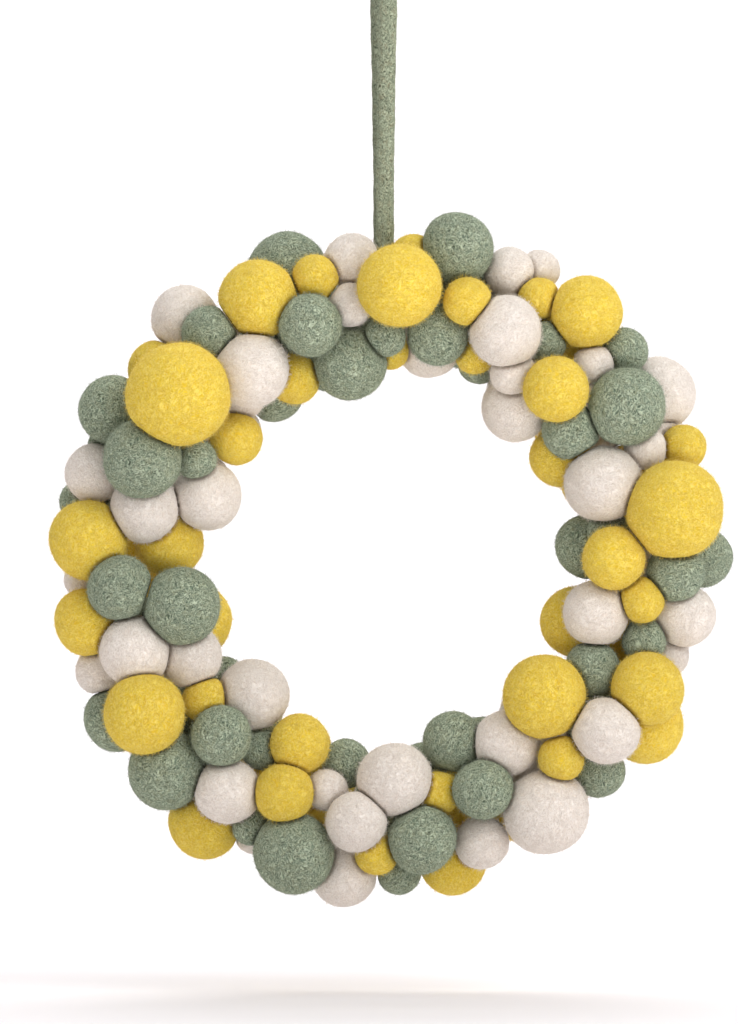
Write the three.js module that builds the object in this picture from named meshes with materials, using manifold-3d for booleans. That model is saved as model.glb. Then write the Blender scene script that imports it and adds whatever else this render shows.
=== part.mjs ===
// Felt wreath: balls of wet-felted wool in three felts, pressed together round a ring, on a doubled cord.
// Millimetres, +Z up, seen from -Y. The origin is inside the top of the hanging loop, where it is held.

import * as THREE from "three";
import { mergeVertices } from "three/addons/utils/BufferGeometryUtils.js";
import Module from "manifold-3d";

const wasm = await Module();
wasm.setup();

// The wreath: the ring itself never shows and stays unbuilt, and only sets how deep each ball sits on it
const RING_RADIUS = 110; // centreline of the ring
const RING_THICKNESS = 24; // across the ring's own section
const CENTRE_DROP = 281; // the wreath's centre lies this far under the origin
const GAP = 0.3; // left open between pieces that touch

// How the balls press on each other: distances between two centres are shares of the sum of their radii
const SWELL = 1.05; // a ball before it is pressed, against its charted size
const PRESS = 0.83; // two balls come no closer than this
const RIM_LEAN = 0.5; // a ball out at the rim leans forward by this share of its radius
const DRAW_PASSES = 150; // passes that also draw neighbours together
const PART_PASSES = 60; // passes after that only move balls apart
// hold is the distance past which neighbours are drawn together, by the share pull in each pass, unless they
// lie further apart in depth than layer times the smaller radius
const OTHER_FELT = { hold: 0.93, pull: 0.1, layer: 1 };
const SAME_FELT = { hold: 0.9, pull: 0.2, layer: 1.6 };
const MOST_LIFT = 7; // the furthest that settling moves a ball forward or back from its seat
const DRIFT = 2.5; // the furthest that a ball moves across the front view to press on one of its felt
const DRIFT_FROM = 5; // balls of one felt with at most this much between them are drawn together that way
const DRIFT_PULL = 0.2; // share of the way that one pass draws them
const DRIFT_OVERLAP = 1.6; // how far they are drawn into each other

// The balls at the back never show in front: rows round the ring, each so far behind its centreline
const BACK_ROWS = [
  { ring: 93, depth: 16, size: 29, count: 21 },
  { ring: 110, depth: 30, size: 36, count: 20 },
  { ring: 126.5, depth: 16, size: 29, count: 28 },
];
const BACK_UNEVEN = 0.08; // how much those sizes vary
const BACK_DRIFT = 3; // the furthest that settling moves one of them across the front view
const BACK_NEAREST = 0.76; // one that would lie closer than this to a front ball, by their radii, is left out
const BACK_STEP = 0.5; // one that shows round the front balls is made smaller by this until it is hidden
const BACK_LEAST = 9; // and is left out where its radius would fall below this
const RIM_POINTS = 16; // points round a back ball's rim that are tried for this
const FELT_ROUNDS = 2; // times that the back balls' felts are chosen over again

// How finely a ball is faceted
const BALL_DETAIL = 1; // 80 faces a front ball
const BACK_FACES = { around: 9, down: 6 }; // of a back ball
const FACET_PLUMP = 1.02; // corners lie this far out, so that a faceted ball holds as much as a round one
const TURN = 2.4; // radians by which each ball is turned from the last one

// Balls of one felt that touch are joined, the smallest first, until this many pieces are left
const MOST_PIECES = 59;
const JOIN_OVERLAP = 0.8; // two balls are joined only where they press at least this far into each other
const JOIN_REACH = 95; // longest piece that joining makes
const BACK_WEIGHT = 0.3; // a back ball counts for this share of its felt, so that it is joined early

// The hanging cord: a narrow loop of felt whose two legs go down between the top balls to the ring
const CORD_DIAMETER = 8;
const CORD_SIDES = 10;
const CORD_STEPS = 44;
const CORD_X = -3.6; // the loop's middle line in the front view
const CORD_TURN = THREE.MathUtils.degToRad(7); // of the loop about that line, its front leg to the right
const CORD_SINK = 0.9; // how hard a ball presses on the cord, as a share of its radius
const LEG_OUT = 4.3; // from the loop's middle line to each leg where the balls hold them
const CORD_ENDS = 116; // height of both ends over the wreath's centre, inside the top of the ring
const CORD_FREE = 150; // above this height the legs begin to part
const CORD_GAP = 0.6; // left round each leg, whose line wavers a little
// One side of the loop from its end to beside its top: how far out of the middle line, and how high
const LOOP_SIDE = [
  { out: LEG_OUT, height: CORD_ENDS },
  { out: LEG_OUT, height: 133 },
  { out: LEG_OUT, height: CORD_FREE },
  { out: 5.2, height: 170 },
  { out: 7.5, height: 192 },
  { out: 11, height: 216 },
  { out: 14.8, height: 240 },
  { out: 16.8, height: 257 },
  { out: 16.6, height: 270 },
  { out: 12.2, height: 280 },
];
const LOOP_TOP = CENTRE_DROP + CORD_DIAMETER / 2;

const YELLOW = "yellow";
const SAGE = "sage";
const WHITE = "white";
const FELTS = [YELLOW, SAGE, WHITE];
const FELT_COLOURS = { yellow: 0xe9cc4e, sage: 0x849a82, white: 0xe3d9d1 };
const CORD_COLOUR = 0x8a967a;
const FELT_ROUGHNESS = 0.95;

// Each ball that shows from the front: its centre from the wreath's centre, its size across and its felt.
// seat is 1 on the ring's front, 0 level with the ring and -1 on its back, and values between lie between.
const FRONT_BALLS = [
  // twelve to one o'clock
  { x: 3.5, z: 120, size: 36, felt: YELLOW, seat: 1 },
  { x: 28.8, z: 136.5, size: 31, felt: SAGE, seat: 1 },
  { x: 9.5, z: 133, size: 21, felt: YELLOW, seat: -0.5 },
  { x: 20.3, z: 99, size: 27, felt: SAGE, seat: 0.6 },
  { x: 16.5, z: 94, size: 27, felt: WHITE, seat: 0 },
  { x: -0.5, z: 92, size: 16, felt: YELLOW, seat: 0 },
  { x: -3, z: 98, size: 18, felt: SAGE, seat: 0.6 },
  { x: 33, z: 113, size: 21, felt: YELLOW, seat: 1 },
  { x: 36.5, z: 90, size: 17, felt: YELLOW, seat: 0.6 },
  { x: 39, z: 87, size: 19, felt: SAGE, seat: 0 },
  { x: 51.5, z: 127, size: 21.5, felt: WHITE, seat: 0.7 },
  { x: 65.5, z: 128, size: 17.5, felt: WHITE, seat: -1 },
  { x: 49.8, z: 100, size: 31, felt: WHITE, seat: 1 },
  // one to two o'clock
  { x: 64.5, z: 114.5, size: 19, felt: YELLOW, seat: 1 },
  { x: 67.5, z: 96, size: 18.5, felt: SAGE, seat: 1 },
  { x: 85.3, z: 108.7, size: 31.5, felt: YELLOW, seat: 1 },
  { x: 71.5, z: 74.7, size: 28, felt: YELLOW, seat: 1 },
  { x: 88.3, z: 85.5, size: 18, felt: WHITE, seat: 1 },
  { x: 53, z: 82, size: 20, felt: WHITE, seat: 0.7 },
  { x: 54.5, z: 67.3, size: 29.5, felt: WHITE, seat: 1 },
  { x: 78.3, z: 57, size: 25, felt: SAGE, seat: 0.6 },
  { x: 74, z: 45.3, size: 26.5, felt: YELLOW, seat: 0 },
  { x: 102.8, z: 92, size: 20, felt: SAGE, seat: 1 },
  { x: 102.6, z: 67.2, size: 34, felt: SAGE, seat: 1 },
  { x: 117.5, z: 73, size: 32.5, felt: WHITE, seat: -0.3 },
  // two to four o'clock
  { x: 111.5, z: 49, size: 19, felt: WHITE, seat: 1 },
  { x: 128, z: 49.5, size: 20, felt: YELLOW, seat: 1 },
  { x: 92.5, z: 33.5, size: 33.5, felt: WHITE, seat: 1 },
  { x: 123.8, z: 21.7, size: 42, felt: YELLOW, seat: 1 },
  { x: 86, z: 6, size: 28, felt: SAGE, seat: 0 },
  { x: 95, z: 13, size: 18, felt: SAGE, seat: 0.5 },
  { x: 96.8, z: 0.7, size: 27.5, felt: YELLOW, seat: 1 },
  { x: 124, z: -5.5, size: 25, felt: SAGE, seat: 1 },
  { x: 137, z: 1, size: 26, felt: SAGE, seat: -0.5 },
  { x: 109.4, z: -17.3, size: 20, felt: YELLOW, seat: 1 },
  { x: 89.7, z: -23.5, size: 28.5, felt: WHITE, seat: 1 },
  { x: 81.5, z: -27.5, size: 31, felt: YELLOW, seat: -0.3 },
  { x: 111, z: -35.5, size: 19.5, felt: SAGE, seat: 1 },
  { x: 128.5, z: -24.5, size: 27, felt: WHITE, seat: 1 },
  { x: 121.5, z: -42, size: 19, felt: WHITE, seat: 0.3 },
  // four to five o'clock
  { x: 88, z: -47.5, size: 24, felt: SAGE, seat: 1 },
  { x: 111.5, z: -56.2, size: 31, felt: YELLOW, seat: 1 },
  { x: 111.5, z: -72.5, size: 33.5, felt: YELLOW, seat: 0 },
  { x: 93.5, z: -74.5, size: 29, felt: WHITE, seat: 1 },
  { x: 66.8, z: -59.5, size: 36.3, felt: YELLOW, seat: 1 },
  { x: 73.8, z: -87, size: 20, felt: YELLOW, seat: 1 },
  { x: 90.5, z: -92.5, size: 24, felt: SAGE, seat: 1 },
  { x: 67.5, z: -110.5, size: 37, felt: WHITE, seat: 1 },
  { x: 50.5, z: -80.5, size: 29, felt: WHITE, seat: 1 },
  // five to seven o'clock
  { x: 39.7, z: -100.2, size: 26, felt: SAGE, seat: 1 },
  { x: 27, z: -80, size: 26, felt: SAGE, seat: 1 },
  { x: 20.5, z: -102.5, size: 19, felt: YELLOW, seat: 1 },
  { x: 1, z: -96, size: 32, felt: WHITE, seat: 0.85 },
  { x: 13.5, z: -122.6, size: 30, felt: SAGE, seat: 1 },
  { x: 39.5, z: -124.4, size: 23.5, felt: WHITE, seat: 1 },
  { x: 27, z: -133.3, size: 29.6, felt: YELLOW, seat: 0 },
  { x: 3.2, z: -137.5, size: 20, felt: SAGE, seat: 0 },
  { x: -6.8, z: -129, size: 19, felt: YELLOW, seat: 0.7 },
  { x: -15.8, z: -114.4, size: 26.2, felt: WHITE, seat: 1 },
  { x: -20.9, z: -138.8, size: 28.4, felt: WHITE, seat: 0 },
  { x: -43, z: -128.5, size: 35.4, felt: SAGE, seat: 1 },
  { x: -20, z: -90, size: 21.5, felt: SAGE, seat: 0.4 },
  { x: -28.8, z: -101, size: 18.5, felt: WHITE, seat: 1 },
  { x: -47.5, z: -102, size: 25.5, felt: YELLOW, seat: 1 },
  { x: -40.7, z: -80.8, size: 25.5, felt: YELLOW, seat: 1 },
  // seven to eight o'clock
  { x: -57, z: -83.8, size: 17.5, felt: SAGE, seat: 0.8 },
  { x: -74.6, z: -77, size: 26, felt: SAGE, seat: 1 },
  { x: -72.3, z: -101.5, size: 28.5, felt: WHITE, seat: 1 },
  { x: -99, z: -92.5, size: 34.5, felt: SAGE, seat: 1 },
  { x: -82.6, z: -116.1, size: 31.8, felt: YELLOW, seat: -0.3 },
  { x: -62.2, z: -117.5, size: 16, felt: SAGE, seat: 0.7 },
  { x: -60.5, z: -120.5, size: 19, felt: WHITE, seat: -1 },
  { x: -108.2, z: -67.3, size: 35, felt: YELLOW, seat: 1 },
  { x: -82, z: -61.2, size: 20.4, felt: YELLOW, seat: 0.6 },
  { x: -61, z: -59.3, size: 31.4, felt: WHITE, seat: 0.5 },
  { x: -74, z: -52, size: 18, felt: SAGE, seat: 0.3 },
  { x: -121.8, z: -70, size: 28.6, felt: SAGE, seat: 0 },
  // eight to ten o'clock
  { x: -112.9, z: -40, size: 31, felt: WHITE, seat: 1 },
  { x: -88.5, z: -42.5, size: 27.4, felt: WHITE, seat: 0.5 },
  { x: -128.5, z: -48.8, size: 21.5, felt: WHITE, seat: 0 },
  { x: -133.8, z: -27.3, size: 29.6, felt: YELLOW, seat: 1 },
  { x: -136.5, z: -9, size: 17, felt: WHITE, seat: -1 },
  { x: -119, z: -12.3, size: 28, felt: SAGE, seat: 1 },
  { x: -92.3, z: -20.2, size: 33.5, felt: SAGE, seat: 0.8 },
  { x: -88.5, z: -27, size: 34, felt: YELLOW, seat: -0.5 },
  { x: -133.5, z: 8.6, size: 34.5, felt: YELLOW, seat: 1 },
  { x: -98.4, z: 7.6, size: 30.4, felt: YELLOW, seat: -0.3 },
  { x: -108.6, z: 22.7, size: 30, felt: WHITE, seat: 0.1 },
  { x: -81, z: 28, size: 30, felt: WHITE, seat: 1 },
  { x: -130.8, z: 38, size: 26, felt: WHITE, seat: 1 },
  { x: -137.5, z: 25.5, size: 18.5, felt: SAGE, seat: -1 },
  { x: -109.3, z: 44.6, size: 33.8, felt: SAGE, seat: 0.7 },
  // ten to twelve o'clock
  { x: -85.8, z: 44, size: 17.5, felt: SAGE, seat: 0.8 },
  { x: -68.6, z: 53.2, size: 23, felt: YELLOW, seat: 1 },
  { x: -93.2, z: 72.1, size: 43.8, felt: YELLOW, seat: 1 },
  { x: -122.5, z: 66, size: 30.5, felt: SAGE, seat: 0 },
  { x: -103.5, z: 83.5, size: 25.5, felt: YELLOW, seat: 0 },
  { x: -91.5, z: 106.8, size: 29, felt: WHITE, seat: 0 },
  { x: -80, z: 99.4, size: 24, felt: SAGE, seat: 1 },
  { x: -58.5, z: 114.6, size: 34, felt: YELLOW, seat: 1 },
  { x: -61.2, z: 83.2, size: 32, felt: WHITE, seat: 1 },
  { x: -65, z: 71, size: 17.5, felt: WHITE, seat: 0.5 },
  { x: -52.5, z: 75, size: 27.2, felt: SAGE, seat: -0.3 },
  { x: -43, z: 79.5, size: 22, felt: YELLOW, seat: 0.8 },
  { x: -35.7, z: 102.7, size: 27, felt: SAGE, seat: 1 },
  { x: -46.3, z: 126.6, size: 35.6, felt: SAGE, seat: 0 },
  { x: -33.6, z: 123.4, size: 20.5, felt: YELLOW, seat: 1 },
  { x: -18.3, z: 112, size: 19.5, felt: WHITE, seat: 1 },
  { x: -18.2, z: 86.3, size: 31.5, felt: SAGE, seat: 1 },
  { x: -18, z: 131.5, size: 24, felt: WHITE, seat: 1 },
];

// How far in front of the ring's centreline a ball of this radius and place comes to rest on the ring.
function seatDepth(x, z, radius) {
  const offset = Math.hypot(x, z) - RING_RADIUS;
  const reach = RING_THICKNESS / 2 + radius;
  return Math.sqrt(Math.max(reach ** 2 - offset ** 2, (RIM_LEAN * radius) ** 2));
}

// A ball in its seat: x and z in the front view, y behind the ring's centreline.
function seatBall({ x, y, z, size, felt, back, drift }) {
  const seated = new THREE.Vector3(x, y, z);
  return { felt, radius: (SWELL * size) / 2, back, drift, seated, centre: seated.clone() };
}

// Where the front balls begin and end on a line out from the wreath's centre at this angle.
function outlineAt(angle, front) {
  const way = new THREE.Vector2(Math.cos(angle), Math.sin(angle));
  const outline = { inner: Infinity, outer: 0 };
  for (const { centre, radius } of front) {
    const place = new THREE.Vector2(centre.x, centre.z);
    const along = place.dot(way);
    const aside = place.cross(way);
    if (along < 0 || Math.abs(aside) >= radius) continue;
    const half = Math.sqrt(radius ** 2 - aside ** 2);
    outline.inner = Math.min(outline.inner, along - half);
    outline.outer = Math.max(outline.outer, along + half);
  }
  return outline;
}

// Whether a back ball shows nowhere round the front balls' outline.
function isHidden({ centre, radius }, front) {
  return Array.from({ length: RIM_POINTS }, (_, i) => (2 * Math.PI * i) / RIM_POINTS).every((turn) => {
    const rim = new THREE.Vector2(centre.x + radius * Math.cos(turn), centre.z + radius * Math.sin(turn));
    const { inner, outer } = outlineAt(rim.angle(), front);
    return rim.length() > inner && rim.length() < outer;
  });
}

// Makes a back ball smaller until it is hidden, and tells whether it still is large enough to keep.
function hideBall(ball, front) {
  while (ball.radius >= BACK_LEAST && !isHidden(ball, front)) ball.radius -= BACK_STEP;
  return ball.radius >= BACK_LEAST;
}

// The charted front balls and the rows of back balls.
function layBalls() {
  const front = FRONT_BALLS.map(({ x, z, size, felt, seat }) => {
    const y = -seat * seatDepth(x, z, (SWELL * size) / 2);
    return seatBall({ x, y, z, size, felt, back: false, drift: DRIFT });
  });
  const back = BACK_ROWS.flatMap(({ ring, depth, size, count }) =>
    Array.from({ length: count }, (_, i) => {
      const angle = (2 * Math.PI * i) / count;
      const place = { x: ring * Math.sin(angle), y: depth, z: ring * Math.cos(angle) };
      const uneven = size * (1 + BACK_UNEVEN * Math.sin(TURN * i));
      const felt = FELTS[i % FELTS.length];
      return seatBall({ ...place, size: uneven, felt, back: true, drift: BACK_DRIFT });
    }),
  );
  const isNear = (a, b) => a.centre.distanceTo(b.centre) < BACK_NEAREST * (a.radius + b.radius);
  const hidden = back.filter((ball) => hideBall(ball, front));
  return [...front, ...hidden.filter((ball) => !front.some((other) => isNear(ball, other)))];
}

// How far two balls still have to move in depth: apart where this is positive, together where it is negative.
function depthError(a, b, drawing) {
  const { hold, pull, layer } = a.felt === b.felt ? SAME_FELT : OTHER_FELT;
  const sum = a.radius + b.radius;
  const across = Math.hypot(a.centre.x - b.centre.x, a.centre.z - b.centre.z);
  if (across >= hold * sum) return 0;
  const depth = Math.abs(b.centre.y - a.centre.y);
  const least = Math.sqrt(Math.max((PRESS * sum) ** 2 - across ** 2, 0));
  if (depth < least) return least - depth;
  const past = depth - Math.sqrt((hold * sum) ** 2 - across ** 2);
  return drawing && past > 0 && past < layer * Math.min(a.radius, b.radius) ? -pull * past : 0;
}

// Moves a ball off the cord's legs, forward or back as it lies already.
function clearCord(ball) {
  const across = ball.centre.x - CORD_X;
  const least = CORD_SINK * ball.radius + CORD_DIAMETER / 2;
  if (Math.abs(across) >= least || ball.centre.z + ball.radius < CORD_ENDS) return;
  const depth = LEG_OUT + Math.sqrt(least ** 2 - across ** 2);
  if (Math.abs(ball.centre.y) < depth) ball.centre.y = ball.centre.y > 0 ? depth : -depth;
}

// Moves neighbours together or apart in depth, the lighter one more, and keeps their place in the front view.
function settleInDepth(a, b, drawing) {
  const move = depthError(a, b, drawing) * (b.centre.y < a.centre.y ? -1 : 1);
  const shareOfA = b.radius ** 3 / (a.radius ** 3 + b.radius ** 3);
  a.centre.y -= move * shareOfA;
  b.centre.y += move * (1 - shareOfA);
}

// Draws two balls of one felt that nearly touch onto each other, the lighter one more.
function drawTogether(a, b) {
  const between = -overlapOf(a, b);
  if (a.felt !== b.felt || between > DRIFT_FROM || between < -DRIFT_OVERLAP) return;
  const way = b.centre.clone().sub(a.centre).setLength((between + DRIFT_OVERLAP) * DRIFT_PULL);
  const shareOfA = b.radius ** 3 / (a.radius ** 3 + b.radius ** 3);
  a.centre.addScaledVector(way, shareOfA);
  b.centre.addScaledVector(way, shareOfA - 1);
}

// Keeps a ball near its seat on the ring, and off the cord.
function keepInPlace(ball) {
  const moved = ball.centre.clone().sub(ball.seated);
  const lift = THREE.MathUtils.clamp(moved.y, -MOST_LIFT, MOST_LIFT);
  const drift = moved.setY(0).clampLength(0, ball.drift);
  ball.centre.copy(ball.seated).add(drift.setY(lift));
  clearCord(ball);
}

function settle(balls) {
  for (let pass = 0; pass < DRAW_PASSES + PART_PASSES; pass += 1) {
    for (const [i, a] of balls.entries()) {
      for (const b of balls.slice(i + 1)) {
        settleInDepth(a, b, pass < DRAW_PASSES);
        drawTogether(a, b);
      }
    }
    balls.forEach(keepInPlace);
  }
}

// How far two balls press into each other.
function overlapOf(a, b) {
  return a.radius + b.radius - a.centre.distanceTo(b.centre);
}

// How many pieces are left if every two balls of one felt that press on each other are joined.
function countPieces(balls) {
  const left = new Set(balls);
  let count = 0;
  for (const first of balls) {
    if (!left.delete(first)) continue;
    count += 1;
    const piece = [first];
    for (const ball of piece) {
      for (const other of left) {
        if (other.felt !== ball.felt || overlapOf(ball, other) < JOIN_OVERLAP) continue;
        left.delete(other);
        piece.push(other);
      }
    }
  }
  return count;
}

// Gives each back ball the felt that joins the most balls, and of equal ones the felt least used there.
function chooseBackFelts(balls) {
  const back = balls.filter((ball) => ball.back);
  for (const ball of back) {
    const costs = FELTS.map((felt) => {
      ball.felt = felt;
      return countPieces(balls) + back.filter((other) => other.felt === felt).length / balls.length;
    });
    ball.felt = FELTS[costs.indexOf(Math.min(...costs))];
  }
}

// Where two balls press on each other: how far that flat lies from the first one's centre.
function flatBetween(a, b) {
  const distance = a.centre.distanceTo(b.centre);
  return (distance ** 2 + a.radius ** 2 - b.radius ** 2) / (2 * distance);
}

// The flats pressed into a ball by its neighbours outside its own piece and by the cord's legs.
function flatsOf(ball, strangers) {
  const flats = [];
  for (const other of strangers) {
    if (ball.centre.distanceTo(other.centre) > FACET_PLUMP * (ball.radius + other.radius) + GAP) continue;
    const towards = other.centre.clone().sub(ball.centre).normalize();
    flats.push({ towards, distance: flatBetween(ball, other) - GAP / 2 });
  }
  for (const side of [-1, 1]) {
    const low = new THREE.Vector3(CORD_X, side * LEG_OUT, CORD_ENDS);
    const high = new THREE.Vector3(CORD_X, side * LEG_OUT, CORD_FREE);
    const nearest = new THREE.Line3(low, high).closestPointToPoint(ball.centre, true, new THREE.Vector3());
    const towards = nearest.sub(ball.centre);
    const distance = towards.length() - CORD_DIAMETER / 2 - CORD_GAP;
    if (distance < FACET_PLUMP * ball.radius) flats.push({ towards: towards.normalize(), distance });
  }
  return flats;
}

// A faceted ball about its own centre, whose corners are drawn in to its flats.
function ballGeometry(ball, flats) {
  const radius = FACET_PLUMP * ball.radius;
  const sphere = ball.back
    ? new THREE.SphereGeometry(radius, BACK_FACES.around, BACK_FACES.down)
    : new THREE.IcosahedronGeometry(radius, BALL_DETAIL);
  sphere.deleteAttribute("normal");
  sphere.deleteAttribute("uv");
  const geometry = mergeVertices(sphere, GAP);
  geometry.rotateX(TURN * ball.order).rotateZ(TURN * ball.order);
  const corners = geometry.attributes.position;
  const corner = new THREE.Vector3();
  for (let i = 0; i < corners.count; i += 1) {
    corner.fromBufferAttribute(corners, i);
    let share = 1;
    for (const { towards, distance } of flats) {
      const out = corner.dot(towards);
      if (out > distance) share = Math.min(share, distance / out);
    }
    corners.setXYZ(i, corner.x * share, corner.y * share, corner.z * share);
  }
  return geometry;
}

// A closed geometry as a solid that manifold-3d can join, and back again.
function solidOf(geometry) {
  return new wasm.Manifold(
    new wasm.Mesh({
      numProp: 3,
      vertProperties: geometry.attributes.position.array,
      triVerts: new Uint32Array(geometry.index.array),
    }),
  );
}

function geometryOf(solid) {
  const mesh = solid.getMesh();
  const geometry = new THREE.BufferGeometry();
  geometry.setAttribute("position", new THREE.BufferAttribute(new Float32Array(mesh.vertProperties), 3));
  geometry.setIndex(new THREE.BufferAttribute(new Uint32Array(mesh.triVerts), 1));
  return geometry;
}

// How much felt a piece holds, by which the joining goes.
function weightOf(piece) {
  return piece.reduce((sum, ball) => sum + ball.radius ** 3 * (ball.back ? BACK_WEIGHT : 1), 0);
}

// Whether two pieces of one felt press on each other somewhere, and together stay short enough.
function canJoin(one, other) {
  if (one === other || one[0].felt !== other[0].felt) return false;
  const pairs = one.flatMap((a) => other.map((b) => [a, b]));
  if (!pairs.some(([a, b]) => overlapOf(a, b) > JOIN_OVERLAP)) return false;
  return pairs.every(([a, b]) => a.radius + b.radius + a.centre.distanceTo(b.centre) < JOIN_REACH);
}

// The balls in pieces of one or a few, all of one felt. What can't be joined past the limit is left out.
function gatherPieces(balls) {
  const pieces = balls.map((ball) => [ball]);
  const byWeight = (one, other) => weightOf(one) - weightOf(other);
  while (pieces.length > MOST_PIECES) {
    pieces.sort(byWeight);
    const joining = pieces.find((one) => pieces.some((other) => canJoin(one, other)));
    if (!joining) break;
    pieces.find((other) => canJoin(joining, other)).push(...joining);
    pieces.splice(pieces.indexOf(joining), 1);
  }
  return pieces.sort(byWeight).slice(-MOST_PIECES);
}

function feltMaterial(color) {
  return new THREE.MeshStandardMaterial({ color, roughness: FELT_ROUGHNESS, metalness: 0 });
}

// One piece as a mesh, placed at the centre of its largest ball.
function pieceMesh(piece, balls) {
  const [main] = [...piece].sort((a, b) => b.radius - a.radius);
  const strangers = balls.filter((ball) => !piece.includes(ball));
  const solids = piece.map((ball) => {
    const { x, y, z } = ball.centre.clone().sub(main.centre);
    return solidOf(ballGeometry(ball, flatsOf(ball, strangers)).translate(x, y, z));
  });
  const joined = solids.reduce((sum, solid) => sum.add(solid));
  const mesh = new THREE.Mesh(geometryOf(joined), feltMaterial(FELT_COLOURS[main.felt]));
  mesh.position.copy(main.centre);
  return mesh;
}

// A point on the loop, out from its middle line: to the front right where out is positive.
function loopPoint({ out, height }) {
  return new THREE.Vector3(CORD_X + out * Math.sin(CORD_TURN), -out * Math.cos(CORD_TURN), height);
}

// The cord along its loop, from the front leg's end over the top to the back leg's end.
function cordMesh() {
  const farSide = LOOP_SIDE.map(({ out, height }) => ({ out: -out, height })).reverse();
  const route = [...LOOP_SIDE, { out: 0, height: LOOP_TOP }, ...farSide].map(loopPoint);
  const section = Array.from({ length: CORD_SIDES }, (_, i) => {
    const angle = (2 * Math.PI * i) / CORD_SIDES;
    return new THREE.Vector2(Math.cos(angle), Math.sin(angle)).multiplyScalar(CORD_DIAMETER / 2);
  });
  const extrudePath = new THREE.CatmullRomCurve3(route);
  const shape = new THREE.Shape(section);
  const geometry = new THREE.ExtrudeGeometry(shape, { steps: CORD_STEPS, extrudePath });
  const mesh = new THREE.Mesh(geometry, feltMaterial(CORD_COLOUR));
  mesh.name = "hanging_cord";
  return mesh;
}

const balls = layBalls();
settle(balls);
for (let round = 0; round < FELT_ROUNDS; round += 1) {
  chooseBackFelts(balls);
  settle(balls);
}
balls.forEach((ball, order) => Object.assign(ball, { order }));
const pieces = gatherPieces(balls);

const wreath = new THREE.Group();
wreath.position.set(-CORD_X, 0, -CENTRE_DROP);
const counts = { yellow: 0, sage: 0, white: 0 };
for (const piece of pieces) {
  const { felt } = piece[0];
  const mesh = pieceMesh(piece, balls);
  counts[felt] += 1;
  mesh.name = `felt_${felt}_${String(counts[felt]).padStart(2, "0")}`;
  wreath.add(mesh);
}

wreath.add(cordMesh());

const part = new THREE.Group();
part.add(wreath);

export default part;
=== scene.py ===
"""Felt wreath: balls of wet-felted wool in three felts, pressed together round a ring, on a doubled felt cord.

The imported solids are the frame. Each is replaced by the round, soft and fibrous balls that it stands for,
laid and pressed by the same rules as the solids, and the cord by a felted cord on the same route.
"""

import logging
import math
from collections.abc import Iterable, Sequence
from dataclasses import dataclass
from enum import Enum
from functools import partial
from itertools import combinations
from typing import Any

import bmesh
import bpy
import numpy as np
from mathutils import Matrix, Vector
from mathutils.bvhtree import BVHTree


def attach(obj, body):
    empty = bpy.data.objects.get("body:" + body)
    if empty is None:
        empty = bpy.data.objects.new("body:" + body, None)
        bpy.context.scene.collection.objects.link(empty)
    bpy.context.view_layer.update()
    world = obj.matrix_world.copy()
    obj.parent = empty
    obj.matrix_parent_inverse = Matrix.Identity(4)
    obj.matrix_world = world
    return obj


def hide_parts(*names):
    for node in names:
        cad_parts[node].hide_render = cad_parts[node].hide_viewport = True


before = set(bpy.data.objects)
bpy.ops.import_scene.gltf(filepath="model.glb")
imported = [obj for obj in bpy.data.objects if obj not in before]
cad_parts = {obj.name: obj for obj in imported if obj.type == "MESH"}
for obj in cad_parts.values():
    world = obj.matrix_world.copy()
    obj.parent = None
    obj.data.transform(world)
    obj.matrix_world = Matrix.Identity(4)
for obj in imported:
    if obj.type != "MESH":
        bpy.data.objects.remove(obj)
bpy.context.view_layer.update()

LOG = logging.getLogger("felt_wreath")

MM = 0.001
BODY = "root"
SEED = 7

# The wreath's centre in the part's frame, in millimetres: the origin is inside the top of the hanging loop
CENTRE_DROP = 281.0
CORD_X = -3.6
CENTRE = np.array([-CORD_X, 0.0, -CENTRE_DROP])
CENTRE_M = tuple((CENTRE * MM).tolist())


class Felt(Enum):
    """The felts that the balls are made of."""

    YELLOW = "yellow"
    SAGE = "sage"
    WHITE = "white"


Y, S, W = Felt.YELLOW, Felt.SAGE, Felt.WHITE

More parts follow.
